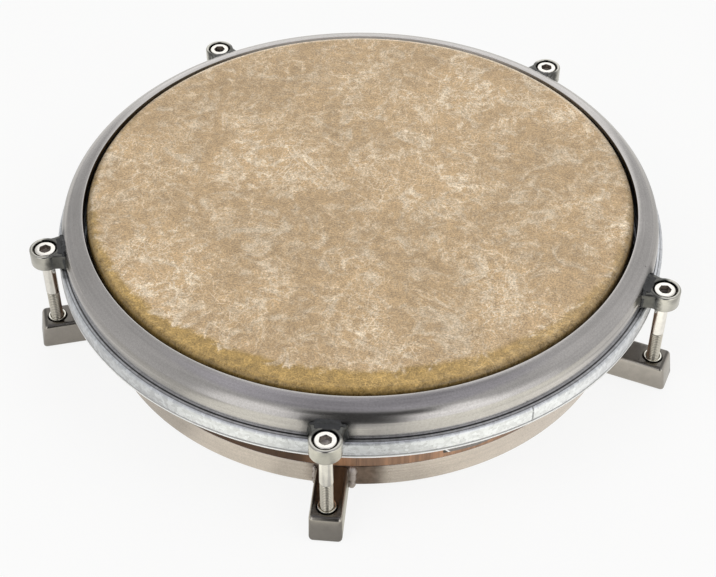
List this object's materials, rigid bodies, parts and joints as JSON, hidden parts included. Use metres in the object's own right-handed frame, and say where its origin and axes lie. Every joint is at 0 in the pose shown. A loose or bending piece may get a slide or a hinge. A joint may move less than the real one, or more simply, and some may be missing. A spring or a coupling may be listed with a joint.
{
  "type": "conga",
  "caption": "Flat-frame conga: a tucked head under a rounded steel rim, on a short wooden shell held in a steel ring with lug arms, tuned by socket-head rods.",
  "frame": {"origin": "centre of the playing surface", "axes": "+Z is the drum's axis, up out of the playing surface; -Y runs through the first lug, and the others follow every 72 degrees anticlockwise seen from above"},
  "size_m": [0.354, 0.352, 0.0751],
  "materials": {
    "head_film": "fibre-grained synthetic skin, satin",
    "collar_film": "fibre-grained synthetic skin, satin",
    "shell_wood": "stained hardwood, satin lacquer",
    "rim_nickel": "steel with a satin antique nickel plating",
    "ear_nickel": "steel with a satin antique nickel plating, darkened by the weld",
    "ring_nickel": "steel with a satin antique nickel plating",
    "arm_nickel": "cast steel with a satin antique nickel plating",
    "flesh_hoop_zinc": "bright galvanised steel",
    "rod_steel": "polished plated steel",
    "nut_steel": "polished plated steel",
    "washer_steel": "plain steel"
  },
  "bodies": {
    "frame": {"frame_ring": "ring_nickel", "lug_arm_1": "arm_nickel", "lug_arm_2": "arm_nickel", "lug_arm_3": "arm_nickel", "lug_arm_4": "arm_nickel", "lug_arm_5": "arm_nickel", "lug_nut_1": "nut_steel", "lug_nut_2": "nut_steel", "lug_nut_3": "nut_steel", "lug_nut_4": "nut_steel", "lug_nut_5": "nut_steel", "wood_shell": "shell_wood", "head_skin": "head_film"},
    "hoop": {"counterhoop": "rim_nickel", "hoop_ear_1": "ear_nickel", "hoop_ear_2": "ear_nickel", "hoop_ear_3": "ear_nickel", "hoop_ear_4": "ear_nickel", "hoop_ear_5": "ear_nickel", "rod_washer_1": "washer_steel", "rod_washer_2": "washer_steel", "rod_washer_3": "washer_steel", "rod_washer_4": "washer_steel", "rod_washer_5": "washer_steel", "flesh_hoop": "flesh_hoop_zinc", "head_collar": "collar_film"},
    "rod_1": {"tension_rod_1": "rod_steel"},
    "rod_2": {"tension_rod_2": "rod_steel"},
    "rod_3": {"tension_rod_3": "rod_steel"},
    "rod_4": {"tension_rod_4": "rod_steel"},
    "rod_5": {"tension_rod_5": "rod_steel"}
  },
  "joints": [
    {"name": "head_tuning", "type": "slide", "parent": "frame", "child": "hoop", "axis": [0, 0, 1], "range_m": [-0.00317, 0.00508], "deforming": ["head_collar"]},
    {"name": "rod_turn_1", "type": "hinge", "parent": "hoop", "child": "rod_1", "pos_m": [0, -0.1738, -0.04], "axis": [0, 0, 1], "range_deg": [-900.5, 1440.5]},
    {"name": "rod_turn_2", "type": "hinge", "parent": "hoop", "child": "rod_2", "pos_m": [0.16529, -0.05371, -0.04], "axis": [0, 0, 1], "range_deg": [-900.5, 1440.5]},
    {"name": "rod_turn_3", "type": "hinge", "parent": "hoop", "child": "rod_3", "pos_m": [0.10216, 0.14061, -0.04], "axis": [0, 0, 1], "range_deg": [-900.5, 1440.5]},
    {"name": "rod_turn_4", "type": "hinge", "parent": "hoop", "child": "rod_4", "pos_m": [-0.10216, 0.14061, -0.04], "axis": [0, 0, 1], "range_deg": [-900.5, 1440.5]},
    {"name": "rod_turn_5", "type": "hinge", "parent": "hoop", "child": "rod_5", "pos_m": [-0.16529, -0.05371, -0.04], "axis": [0, 0, 1], "range_deg": [-900.5, 1440.5]}
  ],
  "couplings": [
    {"joint": "rod_turn_1", "follows": "head_tuning", "rad_per_m": 4947.4},
    {"joint": "rod_turn_2", "follows": "head_tuning", "rad_per_m": 4947.4},
    {"joint": "rod_turn_3", "follows": "head_tuning", "rad_per_m": 4947.4},
    {"joint": "rod_turn_4", "follows": "head_tuning", "rad_per_m": 4947.4},
    {"joint": "rod_turn_5", "follows": "head_tuning", "rad_per_m": 4947.4}
  ]
}
